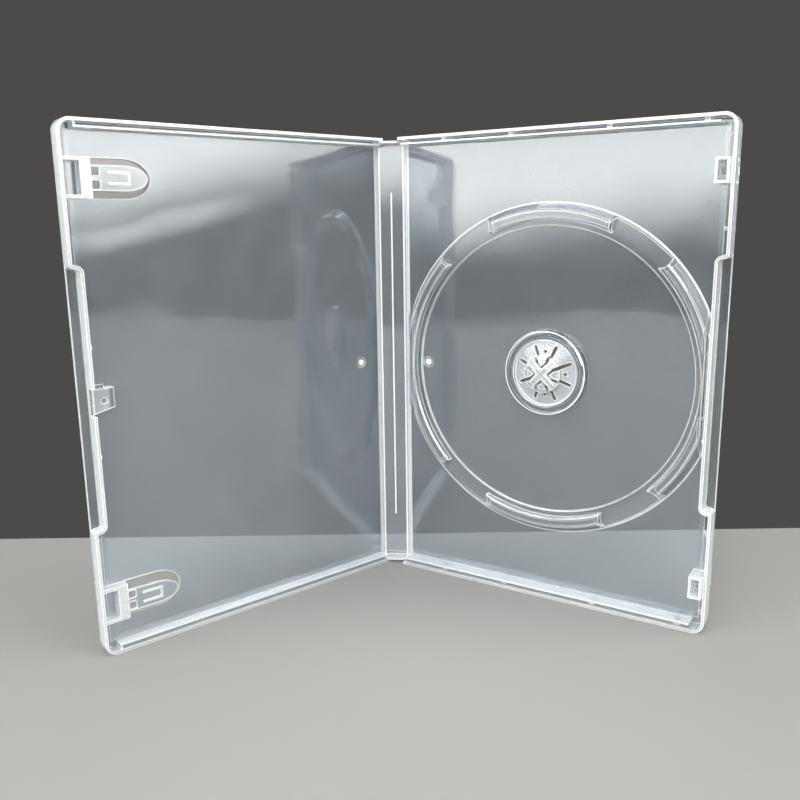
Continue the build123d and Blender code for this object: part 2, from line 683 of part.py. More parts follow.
film_near = SHOULDER + HINGE_BEAD
film_far = PANEL_WIDTH - ART_EDGE - FILM_MARGIN
with BuildPart() as sleeve_back:
    film_sheet(tray_plane, film_near, film_far)
with BuildPart() as sleeve_spine:
    film_sheet(spine_plane, film_near - SPINE_WIDTH, -film_near)
with BuildPart() as sleeve_front:
    film_sheet(cover_plane, -film_far, -film_near)

os.makedirs("parts", exist_ok=True)
pieces = {
    "tray": tray,
    "spine": spine,
    "cover": cover,
    "sleeve_back": sleeve_back,
    "sleeve_spine": sleeve_spine,
    "sleeve_front": sleeve_front,
}
for name, piece in pieces.items():
    piece.part.label = name
    export_step(piece.part, f"parts/{name}.step")

print("case shut", PANEL_WIDTH + HINGE_BEAD, CASE_HEIGHT, TRAY_DEPTH + COVER_DEPTH + PARTING_GAP)
print("hub from hinge axis", HUB_FROM_HINGE)
print("tray hinge axis", tray_axis)
print("cover hinge axis", cover_axis)
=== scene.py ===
# %% [markdown]
# # A clear disc case, standing open
# The case arrives as solids that already have the right size and place: a tray, a narrow spine and a cover.
# This lesson dresses them. It adds the clear plastic, the thin webs at the two folds, the loose film round
# the outside, and the small marks that a mould leaves.

# %% Load the solids
import bpy
import json
import math
from mathutils import Matrix, Vector


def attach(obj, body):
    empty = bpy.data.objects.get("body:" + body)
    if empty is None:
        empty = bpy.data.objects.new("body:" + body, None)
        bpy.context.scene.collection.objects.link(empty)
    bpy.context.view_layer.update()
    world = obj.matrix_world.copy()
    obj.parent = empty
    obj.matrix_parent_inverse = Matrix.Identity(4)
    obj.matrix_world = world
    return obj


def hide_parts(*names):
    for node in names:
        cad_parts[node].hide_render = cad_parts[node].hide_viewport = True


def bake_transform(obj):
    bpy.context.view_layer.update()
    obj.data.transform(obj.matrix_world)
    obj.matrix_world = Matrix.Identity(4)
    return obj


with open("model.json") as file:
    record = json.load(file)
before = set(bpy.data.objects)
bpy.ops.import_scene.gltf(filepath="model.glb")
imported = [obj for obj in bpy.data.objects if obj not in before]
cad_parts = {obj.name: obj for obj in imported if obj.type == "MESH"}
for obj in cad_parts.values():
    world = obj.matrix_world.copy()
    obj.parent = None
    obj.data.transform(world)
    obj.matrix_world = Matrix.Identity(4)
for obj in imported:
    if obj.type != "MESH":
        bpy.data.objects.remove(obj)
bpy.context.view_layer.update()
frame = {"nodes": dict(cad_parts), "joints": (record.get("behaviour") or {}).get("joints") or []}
MM = 0.001
UP = Vector((0, 0, 1))
joints = {joint["name"]: joint for joint in frame["joints"]}
print("solids", sorted(frame["nodes"]))
print("folds", sorted(joints))

# %% [markdown]
# ## The camera
# The photograph looks into the open case from a little above the table. Its lens and place were worked out
# from the corners of the case, whose size is known, so they stand here as plain numbers. A new camera looks
# straight down, so it is first lifted level and then pitched, turned and rolled.

# %% Camera
CAMERA_PLACE = Vector((0.12436, -0.30671, 0.15451))
CAMERA_YAW = math.radians(32.225)
CAMERA_PITCH = math.radians(-12.09)
CAMERA_ROLL = math.radians(-0.787)
LEVEL = math.radians(90)
SENSOR_WIDTH = 36  # in millimetres, as the lens is, for a square picture
LENS = 36.94
NEAR_CLIP = 0.01


def add_camera():
    """Adds the camera at the photograph's place, turned by its yaw, pitch and roll."""
    bpy.ops.object.camera_add(location=CAMERA_PLACE)
    camera = bpy.context.object
    camera.name = "photo_camera"
    yaw = Matrix.Rotation(CAMERA_YAW, 4, "Z")
    pitch = Matrix.Rotation(LEVEL + CAMERA_PITCH, 4, "X")
    roll = Matrix.Rotation(CAMERA_ROLL, 4, "Z")
    camera.matrix_world = Matrix.Translation(CAMERA_PLACE) @ yaw @ pitch @ roll
    camera.data.sensor_width = SENSOR_WIDTH
    camera.data.lens = LENS
    camera.data.clip_start = NEAR_CLIP
    bpy.context.scene.camera = camera
    return camera


camera = add_camera()
print("camera looks along", -camera.matrix_world.col[2].xyz)

# %% [markdown]
# ## Helpers for nodes
# Lights and finishes here are small networks of nodes. Wiring each node by hand takes many lines, so a few
# helpers make the common ones: a sum, a soft step, a line and a noise. Each returns a socket for the next to
# use.

# %% Values and sums
def math_node(tree, operation, first, second=0.0):
    """A Math node on one or two values, each a socket or a number."""
    node = tree.nodes.new("ShaderNodeMath")
    node.operation = operation
    for socket, value in zip(node.inputs, (first, second)):
        if isinstance(value, (int, float)):
            socket.default_value = value
        else:
            tree.links.new(value, socket)
    return node.outputs[0]


def product(tree, first, second):
    """Two values multiplied."""
    return math_node(tree, "MULTIPLY", first, second)


def rest_of(tree, share):
    """What a share leaves of 1."""
    return math_node(tree, "SUBTRACT", 1.0, share)


def most(tree, *values):
    """The largest of several values."""
    top = values[0]
    for value in values[1:]:
        top = math_node(tree, "MAXIMUM", top, value)
    return top


def along_node(tree, vector, direction, offset=0.0):
    """How far a vector reaches along a direction, less an offset."""
    node = tree.nodes.new("ShaderNodeVectorMath")
    node.operation = "DOT_PRODUCT"
    tree.links.new(vector, node.inputs[0])
    node.inputs[1].default_value = direction
    if offset == 0.0:
        return node.outputs["Value"]
    return math_node(tree, "SUBTRACT", node.outputs["Value"], offset)


print("sums: math_node, product, rest_of, most, along_node")

# %% Soft steps, lines and noise
LINE_CORE = 0.6  # share of a line's half width at full strength
NOISE_ROUGHNESS = 0.5
NOISE_SPAN = (0.3, 0.7)  # nearly all of a noise lies between these


def ramp_node(tree, value, low, high, result_low, result_high):
    """A soft step: result_low up to low, result_high from high on."""
    node = tree.nodes.new("ShaderNodeMapRange")
    node.interpolation_type = "SMOOTHSTEP"
    node.inputs["From Min"].default_value = low
    node.inputs["From Max"].default_value = high
    node.inputs["To Min"].default_value = result_low
    node.inputs["To Max"].default_value = result_high
    tree.links.new(value, node.inputs["Value"])
    return node.outputs["Result"]


def step_up(tree, value, start, end):
    """A soft step from 0 up to 1."""
    return ramp_node(tree, value, start, end, 0.0, 1.0)


def step_down(tree, value, start, end):
    """A soft step from 1 down to 0."""
    return ramp_node(tree, value, start, end, 1.0, 0.0)


def line_mask(tree, value, middle, half):
    """1 where a value is within half of the middle, with soft sides."""
    away = math_node(tree, "ABSOLUTE", math_node(tree, "SUBTRACT", value, middle))
    return step_down(tree, away, half * LINE_CORE, half)


def noise_node(tree, place, scale, detail):
    """A smooth noise over the surface."""
    noise = tree.nodes.new("ShaderNodeTexNoise")
    noise.inputs["Scale"].default_value = scale
    noise.inputs["Detail"].default_value = detail
    noise.inputs["Roughness"].default_value = NOISE_ROUGHNESS
    tree.links.new(place, noise.inputs["Vector"])
    return noise.outputs["Fac"]


def spread(tree, noise, lowest, highest):
    """A noise stretched from a lowest to a highest value."""
    return ramp_node(tree, noise, *NOISE_SPAN, lowest, highest)


def bump_node(tree, height, distance):
    """A normal that follows a height from 0 to 1, where 1 stands for a distance."""
    bump = tree.nodes.new("ShaderNodeBump")
    bump.inputs["Strength"].default_value = 1.0
    bump.inputs["Distance"].default_value = distance
    tree.links.new(height, bump.inputs["Height"])
    return bump.outputs["Normal"]


print("steps: ramp_node, step_up, step_down, line_mask, noise_node, spread, bump_node")

# %% [markdown]
# ## Light
# Clear plastic is seen by what it mirrors. Two upright softboxes stand where the tray and the cover mirror
# them, with their lower edges near eye height, so each panel is bright above and clear below, as in the
# photograph. Their cloth is dimmer towards the rim, so the mirrored edge is soft. Others light the lips from
# the front and from above. The room behind is a plain dark grey, which lets the edges shine.

# %% Room and softbox
ROOM_GREY = (0.072, 0.070, 0.066, 1)
WHITE = (1, 1, 1)


def paint_room():
    """Gives the world one plain grey, shown without a film curve."""
    world = bpy.data.worlds.new("room")
    bpy.context.scene.world = world
    world.use_nodes = True
    world.node_tree.nodes["Background"].inputs["Color"].default_value = ROOM_GREY
    bpy.context.scene.view_settings.view_transform = "Standard"


def rim_fade(tree, across, length, fade):
    """1 over the middle of a softbox, down to 0 at two opposite rims."""
    to_rim = math_node(tree, "MINIMUM", across, rest_of(tree, across))
    return step_up(tree, to_rim, 0.0, fade / length)


def soften_rims(box, fade):
    """Dims a softbox towards its sides and its ends."""
    box.data.use_nodes = True
    tree = box.data.node_tree
    split = tree.nodes.new("ShaderNodeSeparateXYZ")
    tree.links.new(tree.nodes.new("ShaderNodeNewGeometry").outputs["Parametric"], split.inputs[0])
    sides = rim_fade(tree, split.outputs["X"], box.data.size, fade[0])
    ends = rim_fade(tree, split.outputs["Y"], box.data.size_y, fade[1])
    tree.links.new(product(tree, sides, ends), tree.nodes["Emission"].inputs["Strength"])


def add_softbox(name, place, target, width, height, radiance, roll=0.0, tint=WHITE, fade=None):
    """Adds an area light that faces a target. Its power follows from how bright its face should look."""
    bpy.ops.object.light_add(type="AREA", location=place)
    box = bpy.context.object
    box.name = name
    box.data.shape = "RECTANGLE"
    box.data.size = width
    box.data.size_y = height
    box.data.energy = radiance * math.pi * width * height
    box.data.color = tint
    facing = (Vector(target) - Vector(place)).to_track_quat("-Z", "Y").to_matrix().to_4x4()
    box.matrix_world = Matrix.Translation(place) @ facing @ Matrix.Rotation(roll, 4, "Z")
    if fade:
        soften_rims(box, fade)


paint_room()
print("room grey", ROOM_GREY)

# %% The five softboxes
WARM = (1.0, 0.965, 0.90)
TRAY_BOX_ROLL = math.radians(5)
COVER_BOX_ROLL = math.radians(13)
WIDE_FADE = (0.20, 0.20)  # from the sides and from the ends, in metres
STREAK_FADE = (0.20, 0.03)

add_softbox(
    "tray_softbox",
    place=(-0.34, -1.43, 0.715),
    target=(0.11, -0.28, 0.715),
    width=2.15,
    height=1.29,
    radiance=5.8,
    roll=TRAY_BOX_ROLL,
    tint=WARM,
    fade=WIDE_FADE,
)
add_softbox(
    "cover_softbox",
    place=(1.35, 0.30, 0.84),
    target=(-0.10, -0.05, 0.84),
    width=1.7,
    height=1.29,
    radiance=6.2,
    roll=COVER_BOX_ROLL,
    tint=WARM,
    fade=WIDE_FADE,
)
add_softbox(
    "streak_softbox",
    place=(1.33, 0.04, 0.155),
    target=(-0.10, -0.05, 0.155),
    width=0.55,
    height=0.07,
    radiance=2.6,
    roll=COVER_BOX_ROLL,
    tint=WARM,
    fade=STREAK_FADE,
)
add_softbox(
    "front_softbox",
    place=(0.50, -1.15, 1.10),
    target=(-0.02, -0.04, 0.10),
    width=1.0,
    height=0.8,
    radiance=7.5,
)
add_softbox(
    "top_softbox",
    place=(0.0, -0.15, 1.3),
    target=(0.0, -0.15, 0.0),
    width=1.2,
    height=1.2,
    radiance=4.5,
)

# %% [markdown]
# ## Floor
# A plain pale table, square to the camera. It ends a little behind the case, so that the panels are seen
# against the dark room as in the photograph, and not against the table. Two helpers that later pieces share
# are made here: one starts a material, the other adds a flat grid.

# %% Floor
FLOOR_BACK = 0.070  # the table's far edge, along the view from the origin
FLOOR_WIDTH = 1.8
FLOOR_DEPTH = 0.9
FLOOR_PARTS = 4
FLOOR_COLOUR = (0.213, 0.213, 0.209, 1)
FLOOR_ROUGHNESS = 0.55


def start_paint(name, settings):
    """A new material with plain settings on its shader, and its node tree and shader."""
    paint = bpy.data.materials.new(name)
    paint.use_nodes = True
    tree = paint.node_tree
    shader = tree.nodes["Principled BSDF"]
    for socket, value in settings.items():
        shader.inputs[socket].default_value = value
    return paint, tree, shader


def add_grid(name, columns, rows, width, height):
    """Adds a flat grid of a size at the origin, with nothing else selected."""
    bpy.ops.object.select_all(action="DESELECT")
    bpy.ops.mesh.primitive_grid_add(x_subdivisions=columns, y_subdivisions=rows, size=1)
    grid = bpy.context.object
    grid.name = name
    grid.scale = (width, height, 1)
    bpy.ops.object.transform_apply(scale=True)
    return grid


def add_floor():
    """Adds the pale table top."""
    away = Vector((-math.sin(CAMERA_YAW), math.cos(CAMERA_YAW), 0))
    floor = add_grid("floor", FLOOR_PARTS, FLOOR_PARTS, FLOOR_WIDTH, FLOOR_DEPTH)
    floor.rotation_euler.z = CAMERA_YAW
    floor.location = away * (FLOOR_BACK - FLOOR_DEPTH / 2)
    bpy.ops.object.transform_apply(location=True, rotation=True, scale=True)
    settings = {"Base Color": FLOOR_COLOUR, "Roughness": FLOOR_ROUGHNESS}
    floor.data.materials.append(start_paint("pale_table", settings)[0])
    return floor


floor = add_floor()
print(floor.name, FLOOR_WIDTH, "by", FLOOR_DEPTH, "m, faces", len(floor.data.polygons))

# %% [markdown]
# ## Where the panels are
# Each panel has its own directions: across from its fold to its free edge, up, and inward from its outer
# face. The folds' places come from the joints, so these directions follow the solids.

# %% Panel directions
CASE_HEIGHT = 190 * MM
PANEL_WIDTH = 134.7 * MM
SPINE_WIDTH = 12.8 * MM
HUB_HEIGHT = 95 * MM
AXIS_DEPTH = 0.6 * MM  # fold axis inward from the outer border face
TRAY_FOLD = math.radians(-joints["tray_hinge"]["range_deg"][0])
COVER_FOLD = math.radians(-joints["cover_hinge"]["range_deg"][0])


def panel_matrix(joint, fold):
    """A panel's frame: x along the panel, y up, z inward, at the foot of its fold line on the outer face."""
    axis = Vector(joints[joint]["pos_m"])
    along = Vector((math.cos(fold), math.sin(fold), 0))
    inward = Vector((math.sin(fold), -math.cos(fold), 0))
    origin = Vector((axis.x, axis.y, 0)) - inward * AXIS_DEPTH
    turn = Matrix((along, UP, inward)).transposed().to_4x4()
    return Matrix.Translation(origin) @ turn


tray_frame = panel_matrix("tray_hinge", 0)
spine_frame = panel_matrix("tray_hinge", TRAY_FOLD)
cover_frame = panel_matrix("cover_hinge", TRAY_FOLD + COVER_FOLD)
print("tray foot", tray_frame.translation, "cover foot", cover_frame.translation)

# %% [markdown]
# ## Clear plastic
# The moulding is clear polypropylene. It bends light like glass, but it is a little milky, so it glows where
# much of it lies in line: along the lips, on the ribs and on every cut edge, where light that ran inside the
# sheet comes out. A volume shader would show this too, but slowly and with noise. Here each surface is milky
# by as much as the plastic behind it is deep, as the height above the outer face and the turn of the surface
# tell. Within a hair of every sharp edge a white line is painted as extra milk: a painted highlight, for the
# light that the edges catch and let out. Height and turn are read in the object's own directions, so nothing
# slides when the case is folded.

# %% Milk on walls, edges, lips and skins
OUTSIDE_MILK = 0.02  # on the flat outer skins, below the film
LIP_MILK = 0.34  # on the flat tops of lips and ribs
WALL_MILK = 0.36  # on walls and cut edges
EDGE_HIGHLIGHT = 0.95  # painted highlight on sharp edges, as white milk
EDGE_REACH = 0.60 * MM
EDGE_SAMPLES = 2
LIP_START = 1.6 * MM
LIP_FULL = 4.5 * MM
WALL_TURN = (0.55, 0.93)  # a surface turns from a wall to a flat skin between these
EDGE_TURN = (0.90, 0.998)  # and here from a sharp edge to a smooth surface
OUTER_TURN = (-0.9, -0.6)  # and here from the outer skin to all others
GRAIN_SCALE = 900.0  # fine flow marks in the thick parts
GRAIN_SPAN = (0.92, 1.06)
CLOUD_SCALE = 55.0  # slow cloudiness of the thin sheets
CLOUD_SPAN = (0.86, 1.14)
MARK_DETAIL = 3.0


def wall_milk(tree, normal, panel):
    """Milky where the surface turns away from the panel's flat: walls and cut edges."""
    facing = math_node(tree, "ABSOLUTE", along_node(tree, normal, panel.col[2].xyz))
    return ramp_node(tree, facing, *WALL_TURN, WALL_MILK, 0.0)


def painted_edge_highlight(tree):
    """A painted highlight within a hair of a sharp edge, given as white milk: there the Bevel node turns the
    normal away from the true one.
    """
    bevel = tree.nodes.new("ShaderNodeBevel")
    bevel.samples = EDGE_SAMPLES
    bevel.inputs["Radius"].default_value = EDGE_REACH
    true_normal = tree.nodes.new("ShaderNodeNewGeometry").outputs["True Normal"]
    turn = tree.nodes.new("ShaderNodeVectorMath")
    turn.operation = "DOT_PRODUCT"
    tree.links.new(bevel.outputs["Normal"], turn.inputs[0])
    tree.links.new(true_normal, turn.inputs[1])
    return ramp_node(tree, turn.outputs["Value"], *EDGE_TURN, EDGE_HIGHLIGHT, 0.0)


def lip_milk(tree, place, panel, zone):
    """Milky on flat tops that have much plastic below them, within the rim."""
    inward = panel.col[2].xyz
    height = along_node(tree, place, inward, inward.dot(panel.translation))
    return product(tree, ramp_node(tree, height, LIP_START, LIP_FULL, 0.0, LIP_MILK), zone)


def skin_milk(tree, place, normal, panel, inside):
    """Milky on skins that face into the case, nearly clear on those below the film, in slow clouds."""
    facing = along_node(tree, normal, panel.col[2].xyz)
    clouds = spread(tree, noise_node(tree, place, CLOUD_SCALE, MARK_DETAIL), *CLOUD_SPAN)
    return product(tree, ramp_node(tree, facing, *OUTER_TURN, OUTSIDE_MILK, inside), clouds)


def inner_side(tree, normal, panel):
    """0 on a panel's flat outer skin, 1 on all its other surfaces."""
    return step_up(tree, along_node(tree, normal, panel.col[2].xyz), *OUTER_TURN)


def grain(tree, place):
    """Fine flow marks, as a factor about 1."""
    return spread(tree, noise_node(tree, place, GRAIN_SCALE, MARK_DETAIL), *GRAIN_SPAN)


print("milk: wall", WALL_MILK, "lip", LIP_MILK, "sharp edge", EDGE_HIGHLIGHT, "outside", OUTSIDE_MILK)

# %% [markdown]
# ### A panel's rim and fold
# Tray and cover share the same rim: lips along the top, the foot and the free edge, and, beside the fold
# where the sheet thickens, a painted highlight line. The cover has nothing more than that, so its milk is a
# plain panel's.

# %% Milk of a panel and of the cover
COVER_SHEET_MILK = 0.052  # on the flat inner skins
LINE_HIGHLIGHT = 0.60  # painted highlight on thin lines
RIM_END_ZONE = 3.3 * MM  # in from the top and the foot
RIM_EDGE_ZONE = 10.3 * MM  # in from the free edge, past the thumb wall, the catches and the clips' frames
ZONE_FADE = 0.5 * MM
FOLD_LINE = 1.3 * MM
FOLD_LINE_HALF = 0.32 * MM


def end_distance(tree, place):
    """The distance to the nearer of the foot and the top."""
    from_foot = along_node(tree, place, UP)
    from_top = math_node(tree, "SUBTRACT", CASE_HEIGHT, from_foot)
    return math_node(tree, "MINIMUM", from_foot, from_top)


def end_zone(tree, ends):
    """1 along the top and the foot, from the distance to the nearer of them."""
    return step_down(tree, ends, RIM_END_ZONE, RIM_END_ZONE + ZONE_FADE)


def rim_zone(tree, place, from_fold):
    """1 along the top, the foot and the free edge of a panel."""
    to_edge = math_node(tree, "SUBTRACT", PANEL_WIDTH, from_fold)
    edge = step_down(tree, to_edge, RIM_EDGE_ZONE, RIM_EDGE_ZONE + ZONE_FADE)
    return most(tree, end_zone(tree, end_distance(tree, place)), edge)


def panel_parts(tree, place, normal, panel, side, sheet):
    """A panel's raised milky parts, which are its walls, lips and the painted highlight line beside the fold,
    and its flat skin.
    """
    across = panel.col[0].xyz * side
    from_fold = along_node(tree, place, across, across.dot(panel.translation))
    lips = lip_milk(tree, place, panel, rim_zone(tree, place, from_fold))
    # Painted highlight: a thin white line beside the fold, on the surfaces that face into the case.
    fold = product(tree, line_mask(tree, from_fold, FOLD_LINE, FOLD_LINE_HALF), LINE_HIGHLIGHT)
    fold = product(tree, fold, inner_side(tree, normal, panel))
    raised = most(tree, wall_milk(tree, normal, panel), lips, fold)
    raised = product(tree, raised, grain(tree, place))
    return raised, skin_milk(tree, place, normal, panel, sheet)


def cover_milk_and_highlights(tree, place, normal, edges):
    """The cover: a plain panel."""
    raised, skin = panel_parts(tree, place, normal, cover_frame, -1, COVER_SHEET_MILK)
    return most(tree, raised, skin, edges)


print("milk: cover sheet", COVER_SHEET_MILK, "bright line", LINE_HIGHLIGHT)

# %% [markdown]
# ### The tray's ring, seat and hub
# A raised ring holds the disc, and a seat carries it round the hub. Their slopes are thin and stay clear, so
# milk is taken away there. What shows of them is painted highlights: white lines painted at the foot of the
# ring and at the two edges of the seat. The hub's fingers are thick and milky. All of these are told by the
# distance from the hub.

# %% Milk of the tray
TRAY_SHEET_MILK = 0.034
RING_MILK = 0.06  # on the clear slopes of the disc ring
HUB_MILK = 0.24
HUB_REACH = 13.3 * MM
HUB_CORE = 0.97  # share of the hub's reach at full milk
RING_IN = 59.5 * MM
RING_OUT = 69.0 * MM
RING_FOOT = 67.1 * MM  # the painted highlight line where the ring's outer slope meets the floor
RING_FOOT_HALF = 0.38 * MM
RING_SIDE = 61.9 * MM  # flat side of the ring, from the hub's axis
RING_HINGE_SIDE = -62.8 * MM  # and the flat side near the fold
SEAT_IN = 13.7 * MM  # round the hub, the clear seat of the disc
SEAT_OUT = 17.4 * MM
SEAT_FOOT = 19.5 * MM
SEAT_TOP_IN = 14.2 * MM  # the seat's flat top, without the lines at its two edges
SEAT_TOP_OUT = 16.4 * MM
SEAT_TOP_CLEAR = 0.65  # how much of the milk is missing there
# Painted highlight lines at the seat's outer edge and at the edge of the bore.
SEAT_LINE = 16.8 * MM
SEAT_LINE_HALF = 0.22 * MM
BORE_LINE = 13.2 * MM
BORE_LINE_HALF = 0.40 * MM
INNER_TURN = (0.4, 0.7)  # a surface turns towards the inside of the case between these


def hub_distance(tree, place):
    """The distance from the hub's axis."""
    flat = tree.nodes.new("ShaderNodeVectorMath")
    flat.operation = "MULTIPLY_ADD"
    tree.links.new(place, flat.inputs[0])
    flat.inputs[1].default_value = (1, 0, 1)
    flat.inputs[2].default_value = (0, 0, -HUB_HEIGHT)
    length = tree.nodes.new("ShaderNodeVectorMath")
    length.operation = "LENGTH"
    tree.links.new(flat.outputs["Vector"], length.inputs[0])
    return length.outputs["Value"]


def disc_ring(tree, distance, sideways):
    """1 on the slopes of the disc ring, and 1 on the painted highlight line at their foot, within the ring's
    flat sides.
    """
    middle = (RING_IN + RING_OUT) / 2
    before_side = step_down(tree, sideways, RING_SIDE, RING_SIDE + ZONE_FADE)
    past_hinge_side = step_up(tree, sideways, RING_HINGE_SIDE, RING_HINGE_SIDE + ZONE_FADE)
    slopes = product(tree, line_mask(tree, distance, middle, RING_OUT - middle), before_side)
    foot = line_mask(tree, distance, RING_FOOT, RING_FOOT_HALF)
    return slopes, product(tree, foot, product(tree, before_side, past_hinge_side))


def disc_seat(tree, distance):
    """1 on the whole seat, 1 on its outer slope and 1 on its flat top."""
    past_bore = step_up(tree, distance, SEAT_IN - ZONE_FADE, SEAT_IN)
    past_edge = step_up(tree, distance, SEAT_OUT - ZONE_FADE / 2, SEAT_OUT)
    before_foot = step_down(tree, distance, SEAT_FOOT, SEAT_FOOT + ZONE_FADE)
    middle = (SEAT_TOP_IN + SEAT_TOP_OUT) / 2
    top = line_mask(tree, distance, middle, SEAT_TOP_OUT - middle)
    return product(tree, past_bore, before_foot), product(tree, past_edge, before_foot), top


def tray_milk_and_highlights(tree, place, normal, edges):
    """The tray: a panel with a milky hub, with clear slopes on the disc ring and round the seat, and with
    painted highlight lines round the hub.
    """
    raised, skin = panel_parts(tree, place, normal, tray_frame, 1, TRAY_SHEET_MILK)
    distance = hub_distance(tree, place)
    ring, ring_foot_highlight = disc_ring(tree, distance, along_node(tree, place, (1, 0, 0)))
    seat, seat_slope, seat_top = disc_seat(tree, distance)
    raised = product(tree, raised, rest_of(tree, most(tree, ring, seat)))
    edges = product(tree, edges, rest_of(tree, most(tree, seat_slope, seat_top)))
    skin = product(tree, skin, rest_of(tree, product(tree, seat_top, SEAT_TOP_CLEAR)))
    hub = ramp_node(tree, distance, HUB_REACH * HUB_CORE, HUB_REACH, HUB_MILK, 0.0)
    hub = product(tree, hub, grain(tree, place))
    # Painted highlights: white lines at the ring's foot, the seat's edge and the bore's edge, on surfaces
    # facing into the case.
    painted_round_lines = most(
        tree,
        ring_foot_highlight,
        line_mask(tree, distance, SEAT_LINE, SEAT_LINE_HALF),
        line_mask(tree, distance, BORE_LINE, BORE_LINE_HALF),
    )
    facing = along_node(tree, normal, tray_frame.col[2].xyz)
    painted_round_lines = product(tree, painted_round_lines, ramp_node(tree, facing, *INNER_TURN, 0.0, LINE_HIGHLIGHT))
    return most(tree, raised, skin, product(tree, ring, RING_MILK), hub, edges, painted_round_lines)


print("milk: tray sheet", TRAY_SHEET_MILK, "hub", HUB_MILK, "ring slopes", RING_MILK)

# %% [markdown]
# ### The spine
# The spine has a painted highlight line beside each of its folds, a wall at each end, and one long thin rib
# up its middle. The rib's own edges lie close together, so the painted highlight of sharp edges is taken away
# beside it, and one clean painted highlight line is put in their place.

# %% Milk of the spine
SPINE_MILK = 0.065
SPINE_RIB_HALF = 0.40 * MM
SPINE_RIB_CLEAR = 1.6 * MM
SPINE_RIB_REACH = 72.5 * MM


def spine_milk_and_highlights(tree, place, normal, edges):
    """The spine: skin, end walls, and the painted highlight lines beside both folds and on the long rib."""
    along = spine_frame.col[0].xyz
    reach = along_node(tree, place, along, along.dot(spine_frame.translation))
    across = math_node(tree, "ABSOLUTE", reach)
    ends = end_distance(tree, place)
    rib_end = HUB_HEIGHT - SPINE_RIB_REACH
    on_rib = step_up(tree, ends, rib_end - ZONE_FADE, rib_end)
    # Painted highlights: one white line on the rib and one beside each fold.
    rib = product(tree, line_mask(tree, across, SPINE_WIDTH / 2, SPINE_RIB_HALF), on_rib)
    beside_rib = product(tree, line_mask(tree, across, SPINE_WIDTH / 2, SPINE_RIB_CLEAR), on_rib)
    first = line_mask(tree, across, FOLD_LINE, FOLD_LINE_HALF)
    second = line_mask(tree, across, SPINE_WIDTH - FOLD_LINE, FOLD_LINE_HALF)
    highlight_lines = product(tree, most(tree, first, second, rib), LINE_HIGHLIGHT)
    highlight_lines = product(tree, highlight_lines, inner_side(tree, normal, spine_frame))
    lips = lip_milk(tree, place, spine_frame, end_zone(tree, ends))
    skin = skin_milk(tree, place, normal, spine_frame, SPINE_MILK)
    raised = most(tree, wall_milk(tree, normal, spine_frame), edges)
    raised = product(tree, raised, rest_of(tree, beside_rib))
    return most(tree, raised, lips, highlight_lines, skin)


print("milk: spine", SPINE_MILK, "rib from", HUB_HEIGHT - SPINE_RIB_REACH, "to", HUB_HEIGHT + SPINE_RIB_REACH)

# %% [markdown]
# ## The plastic itself
# One shader serves all three pieces. The milky share of it is a plain body colour, from pale blue in thin
# sheets to white on thick edges and on the painted highlights, and the rest lets light through. A slow noise
# bends the surface a little, as a thin flat moulding always warps, so mirrored edges wave.

# %% Clear plastic
PLASTIC_TINT = (0.82, 0.89, 0.965, 1)
EDGE_TINT = (0.99, 0.985, 0.975, 1)
PLASTIC_ROUGHNESS = 0.035
PLASTIC_IOR = 1.49
WARP_SCALE = 22.0
WARP_DETAIL = 1.0
WARP_HEIGHT = 0.45 * MM


def clear_plastic(name, milk_and_highlights_of):
    """The clear moulding's material, with its milkiness and painted highlights from a function of place and
    normal.
    """
    paint, tree, shader = start_paint(name, {"Roughness": PLASTIC_ROUGHNESS, "IOR": PLASTIC_IOR})
    source = tree.nodes.new("ShaderNodeTexCoord")
    place = source.outputs["Object"]
    # The milk holds the plastic's haze and also the painted highlights on edges and thin lines.
    milk_and_highlights = milk_and_highlights_of(tree, place, source.outputs["Normal"], painted_edge_highlight(tree))
    tree.links.new(rest_of(tree, milk_and_highlights), shader.inputs["Transmission Weight"])
    tint = tree.nodes.new("ShaderNodeMix")
    tint.data_type = "RGBA"
    tint.inputs["A"].default_value = PLASTIC_TINT
    tint.inputs["B"].default_value = EDGE_TINT
    tree.links.new(milk_and_highlights, tint.inputs["Factor"])
    tree.links.new(tint.outputs["Result"], shader.inputs["Base Color"])
    warp = noise_node(tree, place, WARP_SCALE, WARP_DETAIL)
    tree.links.new(bump_node(tree, warp, WARP_HEIGHT), shader.inputs["Normal"])
    return paint


def dress(node, paint):
    """Gives a solid one material."""
    node.data.materials.clear()
    node.data.materials.append(paint)
    print(node.name, "is dressed in", paint.name, "with", len(paint.node_tree.nodes), "nodes")


dress(frame["nodes"]["tray"], clear_plastic("clear_tray", tray_milk_and_highlights))
dress(frame["nodes"]["spine"], clear_plastic("clear_spine", spine_milk_and_highlights))
dress(frame["nodes"]["cover"], clear_plastic("clear_cover", cover_milk_and_highlights))

# %% [markdown]
# ## Helpers for thin sheets
# The film, its welds and the webs at the folds are thin sheets. They are shaped flat and then need the same
# few moves: choose some vertices or faces, extrude them along a path, get a thickness, and move to their
# place. The path round a fold follows a small arc about the fold's axis, from a panel to the spine.

# %% Helpers for thin sheets
FOLD_START = 1.2 * MM  # a sheet leaves the panel here to go round the fold
FOLD_STEPS = 8
SAME_PLACE = 0.02 * MM  # closer than this is the same place


def fold_path(panel, side, other, other_side, level):
    """Points round a fold at the foot, from a panel to the spine, at a level below the border face."""
    axis = Vector((panel.translation.x, panel.translation.y, 0)) + panel.col[2].xyz * AXIS_DEPTH
    first = panel.col[0].xyz * side
    last = other.col[0].xyz * other_side
    out_first = -panel.col[2].xyz
    out_last = -other.col[2].xyz
    reach = AXIS_DEPTH - level
    points = [axis + first * FOLD_START + out_first * reach]
    for step in range(FOLD_STEPS + 1):
        turn = step / FOLD_STEPS
        points.append(axis + out_first.slerp(out_last, turn) * reach)
    points.append(axis + last * FOLD_START + out_last * reach)
    return points


